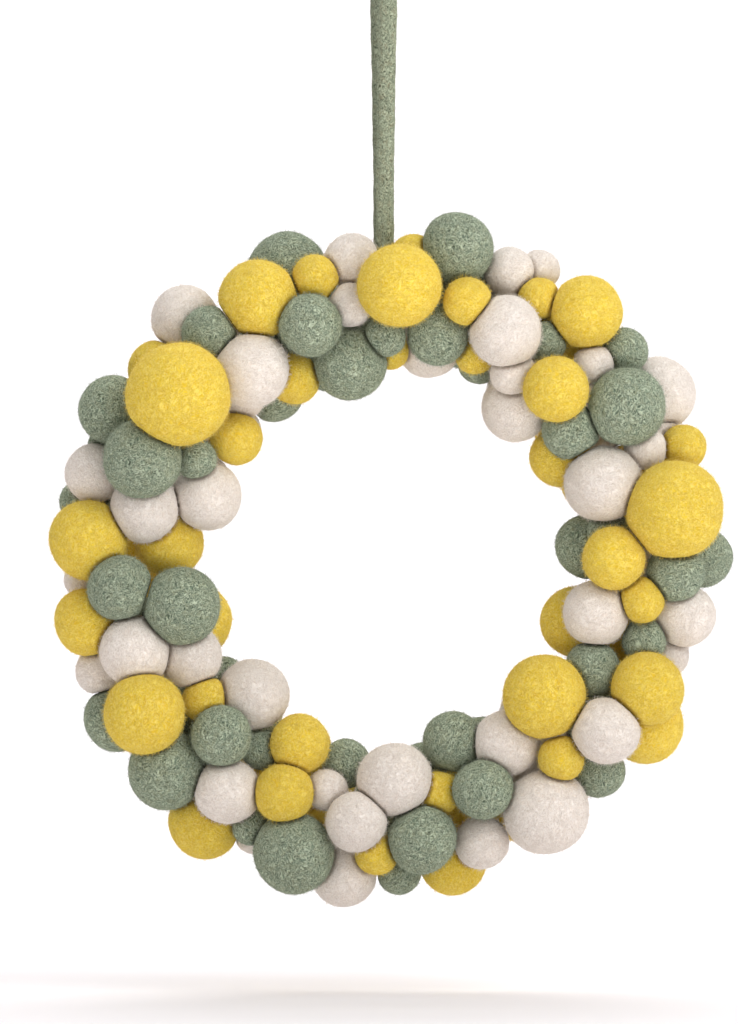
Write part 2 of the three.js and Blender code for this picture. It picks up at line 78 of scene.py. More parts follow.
# Each ball that shows from the front: x and z of its centre from the wreath's centre, its size across, its felt
# and its seat, which is 1 on the ring's front, 0 level with the ring and -1 on its back.
FRONT_BALLS: tuple[tuple[float, float, float, Felt, float], ...] = (
    # twelve to one o'clock
    (3.5, 120, 36, Y, 1),
    (28.8, 136.5, 31, S, 1),
    (9.5, 133, 21, Y, -0.5),
    (20.3, 99, 27, S, 0.6),
    (16.5, 94, 27, W, 0),
    (-0.5, 92, 16, Y, 0),
    (-3, 98, 18, S, 0.6),
    (33, 113, 21, Y, 1),
    (36.5, 90, 17, Y, 0.6),
    (39, 87, 19, S, 0),
    (51.5, 127, 21.5, W, 0.7),
    (65.5, 128, 17.5, W, -1),
    (49.8, 100, 31, W, 1),
    # one to two o'clock
    (64.5, 114.5, 19, Y, 1),
    (67.5, 96, 18.5, S, 1),
    (85.3, 108.7, 31.5, Y, 1),
    (71.5, 74.7, 28, Y, 1),
    (88.3, 85.5, 18, W, 1),
    (53, 82, 20, W, 0.7),
    (54.5, 67.3, 29.5, W, 1),
    (78.3, 57, 25, S, 0.6),
    (74, 45.3, 26.5, Y, 0),
    (102.8, 92, 20, S, 1),
    (102.6, 67.2, 34, S, 1),
    (117.5, 73, 32.5, W, -0.3),
    # two to four o'clock
    (111.5, 49, 19, W, 1),
    (128, 49.5, 20, Y, 1),
    (92.5, 33.5, 33.5, W, 1),
    (123.8, 21.7, 42, Y, 1),
    (86, 6, 28, S, 0),
    (95, 13, 18, S, 0.5),
    (96.8, 0.7, 27.5, Y, 1),
    (124, -5.5, 25, S, 1),
    (137, 1, 26, S, -0.5),
    (109.4, -17.3, 20, Y, 1),
    (89.7, -23.5, 28.5, W, 1),
    (81.5, -27.5, 31, Y, -0.3),
    (111, -35.5, 19.5, S, 1),
    (128.5, -24.5, 27, W, 1),
    (121.5, -42, 19, W, 0.3),
    # four to five o'clock
    (88, -47.5, 24, S, 1),
    (111.5, -56.2, 31, Y, 1),
    (111.5, -72.5, 33.5, Y, 0),
    (93.5, -74.5, 29, W, 1),
    (66.8, -59.5, 36.3, Y, 1),
    (73.8, -87, 20, Y, 1),
    (90.5, -92.5, 24, S, 1),
    (67.5, -110.5, 37, W, 1),
    (50.5, -80.5, 29, W, 1),
    # five to seven o'clock
    (39.7, -100.2, 26, S, 1),
    (27, -80, 26, S, 1),
    (20.5, -102.5, 19, Y, 1),
    (1, -96, 32, W, 0.85),
    (13.5, -122.6, 30, S, 1),
    (39.5, -124.4, 23.5, W, 1),
    (27, -133.3, 29.6, Y, 0),
    (3.2, -137.5, 20, S, 0),
    (-6.8, -129, 19, Y, 0.7),
    (-15.8, -114.4, 26.2, W, 1),
    (-20.9, -138.8, 28.4, W, 0),
    (-43, -128.5, 35.4, S, 1),
    (-20, -90, 21.5, S, 0.4),
    (-28.8, -101, 18.5, W, 1),
    (-47.5, -102, 25.5, Y, 1),
    (-40.7, -80.8, 25.5, Y, 1),
    # seven to eight o'clock
    (-57, -83.8, 17.5, S, 0.8),
    (-74.6, -77, 26, S, 1),
    (-72.3, -101.5, 28.5, W, 1),
    (-99, -92.5, 34.5, S, 1),
    (-82.6, -116.1, 31.8, Y, -0.3),
    (-62.2, -117.5, 16, S, 0.7),
    (-60.5, -120.5, 19, W, -1),
    (-108.2, -67.3, 35, Y, 1),
    (-82, -61.2, 20.4, Y, 0.6),
    (-61, -59.3, 31.4, W, 0.5),
    (-74, -52, 18, S, 0.3),
    (-121.8, -70, 28.6, S, 0),
    # eight to ten o'clock
    (-112.9, -40, 31, W, 1),
    (-88.5, -42.5, 27.4, W, 0.5),
    (-128.5, -48.8, 21.5, W, 0),
    (-133.8, -27.3, 29.6, Y, 1),
    (-136.5, -9, 17, W, -1),
    (-119, -12.3, 28, S, 1),
    (-92.3, -20.2, 33.5, S, 0.8),
    (-88.5, -27, 34, Y, -0.5),
    (-133.5, 8.6, 34.5, Y, 1),
    (-98.4, 7.6, 30.4, Y, -0.3),
    (-108.6, 22.7, 30, W, 0.1),
    (-81, 28, 30, W, 1),
    (-130.8, 38, 26, W, 1),
    (-137.5, 25.5, 18.5, S, -1),
    (-109.3, 44.6, 33.8, S, 0.7),
    # ten to twelve o'clock
    (-85.8, 44, 17.5, S, 0.8),
    (-68.6, 53.2, 23, Y, 1),
    (-93.2, 72.1, 43.8, Y, 1),
    (-122.5, 66, 30.5, S, 0),
    (-103.5, 83.5, 25.5, Y, 0),
    (-91.5, 106.8, 29, W, 0),
    (-80, 99.4, 24, S, 1),
    (-58.5, 114.6, 34, Y, 1),
    (-61.2, 83.2, 32, W, 1),
    (-65, 71, 17.5, W, 0.5),
    (-52.5, 75, 27.2, S, -0.3),
    (-43, 79.5, 22, Y, 0.8),
    (-35.7, 102.7, 27, S, 1),
    (-46.3, 126.6, 35.6, S, 0),
    (-33.6, 123.4, 20.5, Y, 1),
    (-18.3, 112, 19.5, W, 1),
    (-18.2, 86.3, 31.5, S, 1),
    (-18, 131.5, 24, W, 1),
)

# Small balls just behind the gaps that the front balls leave between them, which close those gaps: x, z, size,
# felt, and how far the centre lies behind the ring's centreline.
GAP_BALLS: tuple[tuple[float, float, float, Felt, float], ...] = (
    (-124.5, 24.5, 16, S, 6),
    (-58.5, -109.5, 16, Y, 4),
    (119.5, 56.5, 15, W, 2),
    (-109, -24, 14, S, 2),
    (-127.5, 51, 14, S, 8),
    (-101, -50, 14, W, 2),
    (-82, -89, 14, S, 2),
    (-72, 104, 13, W, 4),
)

# Front balls that show further forward or back than the solids hold them: x, z, and how much further back.
DEPTH_SHIFTS: tuple[tuple[float, float, float], ...] = (
    (-98.4, 7.6, -13),
    (-108.6, 22.7, -10),
    (-109.3, 44.6, -3),
    (-92.3, -20.2, -6),
    (-88.5, -42.5, -7),
    (-68.6, 53.2, 5),
    (-82, -61.2, 7),
    (-74, -52, 7),
    (64.5, 114.5, -6),
    (51.5, 127, 4),
)


@dataclass(frozen=True)
class BackRow:
    """A row of balls that never show in front, round the ring and behind its centreline, in millimetres."""

    ring: float
    depth: float
    size: float
    count: int


@dataclass(frozen=True)
class Draw:
    """How neighbours are drawn together in depth.

    Past hold, a share of the sum of their radii, they are drawn by the share pull in each pass, unless they lie
    further apart in depth than layer times the smaller radius.
    """

    hold: float
    pull: float
    layer: float


@dataclass
class Ball:
    """One felt ball, its centre in millimetres from the wreath's centre."""

    felt: Felt
    radius: float
    back: bool
    drift: float
    seated: np.ndarray
    centre: np.ndarray


@dataclass(frozen=True)
class Layout:
    """Lays the balls round the ring and presses them onto each other, as the solids were laid."""

    ring_radius: float = 110.0
    ring_thickness: float = 24.0
    swell: float = 1.05
    press: float = 0.83
    rim_lean: float = 0.5
    draw_passes: int = 150
    part_passes: int = 60
    other_felt: Draw = Draw(0.93, 0.1, 1.0)
    same_felt: Draw = Draw(0.9, 0.2, 1.6)
    most_lift: float = 7.0
    drift: float = 2.5
    drift_from: float = 5.0
    drift_pull: float = 0.2
    drift_overlap: float = 1.6
    back_rows: tuple[BackRow, ...] = (
        BackRow(93.0, 16.0, 29.0, 21),
        BackRow(110.0, 30.0, 36.0, 20),
        BackRow(126.5, 16.0, 29.0, 28),
    )
    back_uneven: float = 0.08
    back_drift: float = 3.0
    back_nearest: float = 0.76
    back_step: float = 0.5
    back_least: float = 9.0
    rim_points: int = 16
    turn: float = 2.4
    felt_rounds: int = 2
    join_overlap: float = 0.8
    cord_sink: float = 0.9
    shown: float = 1.02

    def balls(self) -> list[Ball]:
        """Every ball, settled.

        Returns:
            The front balls in the chart's order, then the back balls.
        """
        balls = self._front() + self._back()
        pairs = self._near_pairs(balls)
        self._settle(balls, pairs)
        for _ in range(self.felt_rounds):
            self._choose_back_felts(balls, pairs)
            self._settle(balls, pairs)
        return balls

    def _front(self) -> list[Ball]:
        """Seats the front balls on the ring.

        Returns:
            The balls, in the chart's order.
        """
        balls = []
        for x, z, size, felt, seat in FRONT_BALLS:
            radius = self.swell * size / 2
            reach = self.ring_thickness / 2 + radius
            offset = math.hypot(x, z) - self.ring_radius
            depth = math.sqrt(max(reach**2 - offset**2, (self.rim_lean * radius) ** 2))
            balls.append(self._seat((x, -seat * depth, z), radius, felt, back=False))
        return balls

    def _back(self) -> list[Ball]:
        """Fills the back with rows of balls that the front balls hide.

        Returns:
            The balls, row by row.
        """
        front = self._front()
        balls = []
        for row in self.back_rows:
            for i in range(row.count):
                angle = 2 * math.pi * i / row.count
                size = row.size * (1 + self.back_uneven * math.sin(self.turn * i))
                place = (row.ring * math.sin(angle), row.depth, row.ring * math.cos(angle))
                ball = self._seat(place, self.swell * size / 2, list(Felt)[i % len(Felt)], back=True)
                if self._hide(ball, front) and not any(self._is_near(ball, other) for other in front):
                    balls.append(ball)
        return balls

    def _hide(self, ball: Ball, front: list[Ball]) -> bool:
        """Makes a back ball smaller until it shows nowhere round the front balls.

        Args:
            ball: The back ball.
            front: The front balls.

        Returns:
            Whether it still is large enough to keep.
        """
        while ball.radius >= self.back_least and not self._is_hidden(ball, front):
            ball.radius -= self.back_step
        return ball.radius >= self.back_least

    def _is_hidden(self, ball: Ball, front: list[Ball]) -> bool:
        """Whether a ball's whole rim lies within the front balls' outline.

        Args:
            ball: The back ball.
            front: The front balls.

        Returns:
            Whether it shows nowhere round them.
        """
        for i in range(self.rim_points):
            turn = 2 * math.pi * i / self.rim_points
            x = ball.centre[0] + ball.radius * math.cos(turn)
            z = ball.centre[2] + ball.radius * math.sin(turn)
            inner, outer = outline_at(math.atan2(z, x), front)
            if not inner < math.hypot(x, z) < outer:
                return False
        return True

    def _seat(self, place: Sequence[float], radius: float, felt: Felt, *, back: bool) -> Ball:
        """A ball at rest in its seat."""
        seated = np.array(place, float)
        return Ball(felt, radius, back, self.back_drift if back else self.drift, seated, seated.copy())

    def _is_near(self, a: Ball, b: Ball) -> bool:
        """Whether a back ball and a front ball would press into each other too far."""
        return distance(a.centre, b.centre) < self.back_nearest * (a.radius + b.radius)

    def _near_pairs(self, balls: list[Ball]) -> list[tuple[Ball, Ball]]:
        """The pairs that can meet however far settling moves them.

        Args:
            balls: All the balls.

        Returns:
            The pairs.
        """
        room = 2 * self.back_drift + self.drift_from
        return [
            (a, b)
            for a, b in combinations(balls, 2)
            if math.hypot(*(a.seated - b.seated)[[0, 2]]) < a.radius + b.radius + room
        ]

    def round_out(self, balls: list[Ball]) -> None:
        """Puts settled balls back to where they show, and parts those that press too hard.

        Args:
            balls: The balls, as the solids hold them.
        """
        shifts = {(x, z): back for x, z, back in DEPTH_SHIFTS}
        for ball in balls:
            if not ball.back:
                ball.radius *= self.shown / self.swell
                shift = shifts.get((ball.seated[0], ball.seated[2]), 0.0)
                ball.seated[1] += shift
                ball.centre[1] += shift
            ball.drift = 0.0
            self._keep_in_place(ball)
        pairs = self._near_pairs(balls)
        for _ in range(self.part_passes):
            for a, b in pairs:
                self._settle_in_depth(a, b, drawing=False)
            for ball in balls:
                self._keep_in_place(ball)

    def _settle(self, balls: list[Ball], pairs: list[tuple[Ball, Ball]]) -> None:
        """Moves the balls in depth, and a little across, until they press on each other but not too hard.

        Args:
            balls: All the balls.
            pairs: Those of them that can meet.
        """
        for step in range(self.draw_passes + self.part_passes):
            for a, b in pairs:
                self._settle_in_depth(a, b, drawing=step < self.draw_passes)
                if a.felt is b.felt:
                    self._draw_together(a, b)
            for ball in balls:
                self._keep_in_place(ball)

    def _settle_in_depth(self, a: Ball, b: Ball, *, drawing: bool) -> None:
        """Parts two balls in depth where they press too hard, or draws them together where they hardly meet.

        Args:
            a: One ball.
            b: The other.
            drawing: Whether they are drawn together too.
        """
        ax, ay, az = a.centre.tolist()
        bx, by, bz = b.centre.tolist()
        draw = self.same_felt if a.felt is b.felt else self.other_felt
        total = a.radius + b.radius
        across = math.hypot(ax - bx, az - bz)
        if across >= draw.hold * total:
            return
        depth = abs(by - ay)
        least = math.sqrt(max((self.press * total) ** 2 - across**2, 0))
        move = 0.0
        if depth < least:
            move = least - depth
        elif drawing:
            past = depth - math.sqrt((draw.hold * total) ** 2 - across**2)
            if 0 < past < draw.layer * min(a.radius, b.radius):
                move = -draw.pull * past
        if by < ay:
            move = -move
        share = b.radius**3 / (a.radius**3 + b.radius**3)
        a.centre[1] = ay - move * share
        b.centre[1] = by + move * (1 - share)

    def _draw_together(self, a: Ball, b: Ball) -> None:
        """Draws two balls of one felt together until they join.

        Args:
            a: One ball.
            b: The other.
        """
        apart = distance(a.centre, b.centre)
        between = apart - a.radius - b.radius
        if between > self.drift_from or between < -self.drift_overlap:
            return
        way = (b.centre - a.centre) * ((between + self.drift_overlap) * self.drift_pull / apart)
        share = b.radius**3 / (a.radius**3 + b.radius**3)
        a.centre += way * share
        b.centre += way * (share - 1)

    def _keep_in_place(self, ball: Ball) -> None:
        """Holds a ball near its seat and clear of the cord.

        Args:
            ball: The ball.
        """
        x, y, z = (ball.centre - ball.seated).tolist()
        across = math.hypot(x, z)
        keep = min(1.0, ball.drift / across) if across else 1.0
        lift = min(max(y, -self.most_lift), self.most_lift)
        ball.centre[:] = ball.seated + (x * keep, lift, z * keep)
        self._clear_cord(ball)

    def _clear_cord(self, ball: Ball) -> None:
        """Moves a ball forward or back until the cord's legs sink into it no further than they may.

        Args:
            ball: The ball.
        """
        x, y, z = ball.centre.tolist()
        least = self.cord_sink * ball.radius + CORD.diameter / 2
        if abs(x - CORD_X) >= least or z + ball.radius < CORD.ends:
            return
        depth = CORD.leg_out + math.sqrt(least**2 - (x - CORD_X) ** 2)
        if abs(y) < depth:
            ball.centre[1] = depth if y > 0 else -depth

    def _choose_back_felts(self, balls: list[Ball], pairs: list[tuple[Ball, Ball]]) -> None:
        """Gives each back ball the felt that joins the most balls, and of equal ones the one least used there.

        Args:
            balls: All the balls.
            pairs: Those of them that can meet.
        """
        place = {id(ball): i for i, ball in enumerate(balls)}
        pressed = [
            (place[id(a)], place[id(b)])
            for a, b in pairs
            if a.radius + b.radius - distance(a.centre, b.centre) >= self.join_overlap
        ]
        back = [ball for ball in balls if ball.back]
        for ball in back:
            costs = {}
            for felt in Felt:
                ball.felt = felt
                used = sum(other.felt is felt for other in back)
                costs[felt] = count_groups(balls, pressed) + used / len(balls)
            ball.felt = min(costs, key=costs.__getitem__)


@dataclass(frozen=True)
class CordRoute:
    """The doubled cord's route: a narrow loop from the ring up to the origin and down again, in millimetres."""

    diameter: float = 8.0
    turn: float = math.radians(7)
    leg_out: float = 4.3
    ends: float = 116.0
    free: float = 150.0
    gap: float = 0.6
    side: tuple[tuple[float, float], ...] = (
        (4.3, 116),
        (4.3, 133),
        (4.3, 150),
        (5.2, 170),
        (7.5, 192),
        (11, 216),
        (14.8, 240),
        (16.8, 257),
        (16.6, 270),
        (12.2, 280),
    )

    def points(self, steps: int = 12) -> np.ndarray:
        """The cord's line through its points, from the front leg's end to the back leg's.

        Args:
            steps: Points on each stretch between two of the route's own.

        Returns:
            The points, in millimetres in the part's frame.
        """
        side = [*self.side, (0.0, CENTRE_DROP + self.diameter / 2)]
        route = side + [(-out, height) for out, height in reversed(self.side)]
        control = np.array(
            [(CORD_X + out * math.sin(self.turn), -out * math.cos(self.turn), height) for out, height in route]
        )
        return smooth_line(control, steps) + CENTRE

    def flats(self, ball: Ball) -> list[tuple[np.ndarray, float]]:
        """The flats that the legs press into a ball.

        Args:
            ball: The ball.

        Returns:
            Which way each flat lies from the ball's centre, and how far from it.
        """
        flats = []
        for side in (-1, 1):
            height = min(max(ball.centre[2], self.ends), self.free)
            towards = np.array([CORD_X, side * self.leg_out, height]) - ball.centre
            away = float(np.linalg.norm(towards))
            flats.append((towards / away, away - self.diameter / 2 - self.gap))
        return flats


CORD = CordRoute()


def distance(a: np.ndarray, b: np.ndarray) -> float:
    """How far two points lie apart."""
    return math.dist(a.tolist(), b.tolist())


def outline_at(angle: float, front: list[Ball]) -> tuple[float, float]:
    """Where the front balls begin and end on a line out from the wreath's centre.

    Args:
        angle: Of the line in the front view, from +X towards +Z.
        front: The front balls.

    Returns:
        The least and the greatest distance from the centre.
    """
    way = (math.cos(angle), math.sin(angle))
    inner, outer = math.inf, 0.0
    for ball in front:
        x, _, z = ball.centre.tolist()
        along = x * way[0] + z * way[1]
        aside = x * way[1] - z * way[0]
        if along < 0 or abs(aside) >= ball.radius:
            continue
        half = math.sqrt(ball.radius**2 - aside**2)
        inner = min(inner, along - half)
        outer = max(outer, along + half)
    return inner, outer


def count_groups(balls: list[Ball], pressed: list[tuple[int, int]]) -> int:
    """How many groups of one felt the pressed pairs make of the balls.

    Args:
        balls: All the balls.
        pressed: The places in balls of each two that press on each other.

    Returns:
        The number of groups, a ball on its own being one.
    """
    first = list(range(len(balls)))

    def root(i: int) -> int:
        """Finds the ball that stands for a ball's group.

        Args:
            i: The ball's place.

        Returns:
            The place of the ball that stands for its group.
        """
        while first[i] != i:
            first[i] = first[first[i]]
            i = first[i]
        return i

    count = len(balls)
    for i, j in pressed:
        if balls[i].felt is balls[j].felt and root(i) != root(j):
            first[root(i)] = root(j)
            count -= 1
    return count


def smooth_line(control: np.ndarray, steps: int) -> np.ndarray:
    """A centripetal Catmull-Rom line through points, as the solid cord's line is.

    Args:
        control: The points, an array of (n, 3).
        steps: Points on each stretch.

    Returns:
        The line's points, (n - 1) * steps + 1 of them.
    """
    padded = np.vstack([2 * control[0] - control[1], control, 2 * control[-1] - control[-2]])
    line = []
    for p0, p1, p2, p3 in zip(padded, padded[1:], padded[2:], padded[3:]):
        t1 = math.sqrt(distance(p0, p1))
        t2 = t1 + math.sqrt(distance(p1, p2))
        t3 = t2 + math.sqrt(distance(p2, p3))
        for t in np.linspace(t1, t2, steps, endpoint=False):
            a1 = (t1 - t) / t1 * p0 + t / t1 * p1
            a2 = (t2 - t) / (t2 - t1) * p1 + (t - t1) / (t2 - t1) * p2
            a3 = (t3 - t) / (t3 - t2) * p2 + (t - t2) / (t3 - t2) * p3
            b1 = (t2 - t) / t2 * a1 + t / t2 * a2
            b2 = (t3 - t) / (t3 - t1) * a2 + (t - t1) / (t3 - t1) * a3
            line.append((t2 - t) / (t2 - t1) * b1 + (t - t1) / (t2 - t1) * b2)
    return np.array([*line, control[-1]])


# MATERIALS


def colour(code: str) -> tuple[float, float, float, float]:
    """An sRGB hex colour, such as "#E9CC4E", as linear red, green and blue with an alpha of 1."""
    parts = [int(code[i : i + 2], 16) / 255 for i in (1, 3, 5)]
    return (*(c / 12.92 if c <= 0.04045 else ((c + 0.055) / 1.055) ** 2.4 for c in parts), 1.0)


def add_node(
    tree: bpy.types.NodeTree, kind: str, inputs: dict[str | int, Any] | None = None, **settings: Any
) -> bpy.types.Node:
    """Adds a node with its settings and links.

    Args:
        tree: The tree that it goes into.
        kind: The node's type.
        inputs: By the input's name or place: a value, another node's socket, or a node for the first output it uses.
        **settings: The node's own properties.

    Returns:
        The node.
    """
    node = tree.nodes.new(kind)
    for name, value in settings.items():
        setattr(node, name, value)
    for key, value in (inputs or {}).items():
        if isinstance(value, bpy.types.Node):
            value = next(socket for socket in value.outputs if socket.enabled)
        if isinstance(value, bpy.types.NodeSocket):
            tree.links.new(value, node.inputs[key])
        else:
            node.inputs[key].default_value = value
    return node


@dataclass(frozen=True)
class Patches:
    """Soft patches in the wool: a noise with features size millimetres across, taken from low to high."""

    size: float
    detail: float
    roughness: float
    low: float
    high: float

    def add_to(self, tree: bpy.types.NodeTree, place: Any, least: float = 0.0, most: float = 1.0) -> bpy.types.Node:
        """Adds the patches to a material.

        Args:
            tree: The material's nodes.
            place: Coordinates in millimetres, as a node or a socket.
            least: The value between patches.
            most: The value in a patch.

        Returns:
            The node whose result is the value.
        """
        shape = {"Scale": 1 / self.size, "Detail": self.detail, "Roughness": self.roughness}
        noise = add_node(tree, "ShaderNodeTexNoise", {"Vector": place, **shape})
        ends = {1: self.low, 2: self.high, 3: least, 4: most}
        return add_node(tree, "ShaderNodeMapRange", {0: noise, **ends}, interpolation_type="SMOOTHSTEP")


@dataclass(frozen=True)
class FeltFinish:
    """How one felt looks: its wool's colours, the painted shade in the crevices between balls, and how strongly its
    fibres stand out from each other.

    The wool is wet-felted by hand: fibres of 20 to 30 micrometres lie tangled in curls a millimetre or two across.
    Single fibres are too fine to show, so they are drawn as locks about 0.3 mm thick.
    """

    name: str
    mid: str
    shade: str
    light: str
    dark: str
    fleck: str
    # the colour of the painted shade in the crevices where balls press on each other
    painted_crevice_shade: str
    light_share: float
    dark_share: float
    fleck_share: float
    fuzz: str
    sheen: float = 0.35
    relief: float = 0.3
    curl: float = 1.15
    lock: float = 0.1
    lie: float = 0.6
    grain: float = 0.1
    relief_share: float = 0.85
    roughness: float = 0.92
    gloss: float = 0.15
    sheen_roughness: float = 0.5
    shade_share: float = 0.7
    # how dark the painted crevice shade is, and how far from a neighbour it reaches, as a share of the room
    crevice_shade_share: float = 0.7
    crevice_shade_reach: float = 0.7
    wander_size: float = 4.0
    wander: float = 5.0
    layers: tuple[tuple[float, float], ...] = ((1.0, 1.0), (0.7, 1.1))
    gaps: Patches = Patches(0.92, 2.0, 0.6, 0.48, 0.64)
    clouds: Patches = Patches(7.0, 3.0, 0.6, 0.35, 0.65)
    blotches: Patches = Patches(2.2, 2.0, 0.5, 0.45, 0.62)
    specks: Patches = Patches(0.55, 1.0, 0.5, 0.32, 0.68)
    gap_depth: float = 0.8
    swell_size: float = 3.0
    swell_height: float = 1.5

    def material(self) -> bpy.types.Material:
        """The felt's material: tangled, curling fibres of a few colours, matt, with a soft sheen, and painted shade
        where balls press on each other.

        Returns:
            The material, for meshes with the attributes of a Skin.
        """
        material, shader = new_material(self.name)
        tree = material.node_tree
        add = partial(add_node, tree)
        swirl = add("ShaderNodeAttribute", attribute_name="swirl").outputs["Vector"]
        tone = add("ShaderNodeAttribute", attribute_name="tone").outputs["Fac"]
        room = add("ShaderNodeAttribute", attribute_name="room").outputs["Fac"]
        # the way the fibres curl: the coordinates wander by a millimetre or two, and run further one way
        drift = add("ShaderNodeTexNoise", {"Vector": swirl, "Scale": 1 / self.wander_size, "Detail": 1.0})
        drift = add("ShaderNodeVectorMath", {0: drift.outputs["Color"], 1: (0.5, 0.5, 0.5)}, operation="SUBTRACT")
        drift = add("ShaderNodeVectorMath", {0: drift, "Scale": self.wander}, operation="SCALE")
        curled = add("ShaderNodeVectorMath", {0: swirl, 1: drift}, operation="ADD")
        curled = add("ShaderNodeVectorMath", {0: curled, 1: (1.0, 1.0, self.lie)}, operation="MULTIPLY")
        aside = add("ShaderNodeVectorMath", {0: curled, 1: (31.0, 17.0, 5.0)}, operation="ADD")
        beyond = add("ShaderNodeVectorMath", {0: curled, 1: (-13.0, 47.0, 29.0)}, operation="ADD")
        # two layers of pale locks, each along the curly lines where a noise crosses its middle value
        locks = []
        for place, (size, width) in zip((curled, aside), self.layers):
            wool = add("ShaderNodeTexNoise", {"Vector": place, "Scale": 1 / (size * self.curl), "Detail": 0.0})
            off = add("ShaderNodeMath", {0: wool, 1: 0.5}, operation="SUBTRACT")
            off = add("ShaderNodeMath", {0: off}, operation="ABSOLUTE")
            ends = {1: 0.0, 2: width * self.lock, 3: 1.0, 4: 0.0}
            locks.append(add("ShaderNodeMapRange", {0: off, **ends}, interpolation_type="SMOOTHSTEP"))
        bright = add("ShaderNodeMath", dict(enumerate(locks)), operation="MAXIMUM")
        # the gaps between the locks, sunk in the bump and coloured with the dark wool: partly the felt's darker
        # fibres, partly painted shade in the gaps
        deep = self.gaps.add_to(tree, beyond)
        base = colour(self.mid)
        for pattern, share, code in (
            (self.clouds.add_to(tree, swirl), self.shade_share, self.shade),
            (self.blotches.add_to(tree, beyond), self.fleck_share, self.fleck),
            (deep, self.dark_share, self.dark),
            (bright, self.light_share, self.light),
        ):
            cover = add("ShaderNodeMath", {0: pattern, 1: share}, operation="MULTIPLY")
            base = add("ShaderNodeMix", {0: cover, 6: base, 7: colour(code)}, data_type="RGBA")
        speck = self.specks.add_to(tree, aside, 1 - self.grain, 1 + self.grain)
        value = add("ShaderNodeMath", {0: tone, 1: speck}, operation="MULTIPLY")
        base = add("ShaderNodeHueSaturation", {"Color": base, "Value": value})
        # painted shade in the crevices: near where balls press on each other, the colour darkens towards the crevice
        # shade colour
        ends = {1: 0.0, 2: self.crevice_shade_reach, 3: self.crevice_shade_share, 4: 0.0}
        crevice_shade = add("ShaderNodeMapRange", {0: room, **ends}, interpolation_type="SMOOTHSTEP")
        base = add("ShaderNodeMix", {0: crevice_shade, 6: base, 7: colour(self.painted_crevice_shade)}, data_type="RGBA")
        tree.links.new(base.outputs[2], shader.inputs["Base Color"])
        sunk = add("ShaderNodeMath", {0: deep, 1: self.gap_depth}, operation="MULTIPLY")
        height = add("ShaderNodeMath", {0: bright, 1: sunk}, operation="SUBTRACT")
        uneven = add("ShaderNodeTexNoise", {"Vector": swirl, "Scale": 1 / self.swell_size, "Detail": 3.0})
        uneven = add("ShaderNodeMath", {0: uneven, 1: self.swell_height}, operation="MULTIPLY")
        height = add("ShaderNodeMath", {0: height, 1: uneven}, operation="ADD")
        depth = {"Strength": self.relief_share, "Distance": self.relief * MM}
        bump = add("ShaderNodeBump", {**depth, "Height": height})
        tree.links.new(bump.outputs[0], shader.inputs["Normal"])
        shader.inputs["Roughness"].default_value = self.roughness
        shader.inputs["Specular IOR Level"].default_value = self.gloss
        shader.inputs["Sheen Weight"].default_value = self.sheen
        shader.inputs["Sheen Roughness"].default_value = self.sheen_roughness
        shader.inputs["Sheen Tint"].default_value = colour(self.light)
        return material

    def fibre_material(self) -> bpy.types.Material:
        """The material of the stray fibres on this felt: single wool fibres, some lighter and some darker.

        Returns:
            The material.
        """
        material, shader = new_material(self.name + "_fibre")
        tree = material.node_tree
        place = add_node(tree, "ShaderNodeTexCoord").outputs["Object"]
        share = Patches(0.8 * MM, 0.0, 0.5, 0.4, 0.6).add_to(tree, place)
        blend = {0: share, 6: colour(self.shade), 7: colour(self.fuzz)}
        mixed = add_node(tree, "ShaderNodeMix", blend, data_type="RGBA")
        tree.links.new(mixed.outputs[2], shader.inputs["Base Color"])
        shader.inputs["Roughness"].default_value = 0.85
        shader.inputs["Specular IOR Level"].default_value = 0.2
        shader.inputs["Sheen Weight"].default_value = self.sheen
        return material


FINISHES = {
    Y: FeltFinish(
        "felt_yellow",
        mid="#E8C83E",
        shade="#DDBA32",
        light="#F9E786",
        dark="#C99D28",
        fleck="#DAB232",
        painted_crevice_shade="#A07620",
        light_share=0.5,
        dark_share=0.45,
        fleck_share=0.4,
        fuzz="#F9E68C",
        sheen=0.25,
        relief=0.16,
        grain=0.05,
    ),
    S: FeltFinish(
        "felt_sage",
        mid="#788571",
        shade="#697A68",
        light="#B6C0A7",
        dark="#414C3D",
        fleck="#959677",
        painted_crevice_shade="#4A4E3B",
        light_share=0.9,
        dark_share=0.8,
        fleck_share=0.5,
        fuzz="#B9C2AB",
        relief=0.24,
        grain=0.25,
    ),
    W: FeltFinish(
        "felt_white",
        mid="#E9DFD5",
        shade="#DED2C7",
        light="#F8F2EB",
        dark="#C3B2A4",
        fleck="#DFD0C0",
        painted_crevice_shade="#AA9886",
        light_share=0.55,
        dark_share=0.4,
        fleck_share=0.3,
        fuzz="#F6F0E9",
        relief=0.15,
        grain=0.05,
    ),
}
CORD_FINISH = FeltFinish(
    "felt_cord",
    mid="#89917B",
    shade="#78816B",
    light="#B7BFA4",
    dark="#4A5240",
    fleck="#8F8568",
    painted_crevice_shade="#4A4E3B",
    light_share=0.8,
    dark_share=0.8,
    fleck_share=0.5,
    fuzz="#B4BCA2",
    relief=0.24,
    grain=0.2,
)


def new_material(name: str) -> tuple[bpy.types.Material, bpy.types.Node]:
    """An empty material.

    Args:
        name: The material's name.

    Returns:
        The material, and its shader, which is joined to the output.
    """
    material = bpy.data.materials.new(name)
    material.use_nodes = True
    material.node_tree.nodes.clear()
    shader = add_node(material.node_tree, "ShaderNodeBsdfPrincipled")
    add_node(material.node_tree, "ShaderNodeOutputMaterial", {"Surface": shader})
    return material, shader


# MESHES


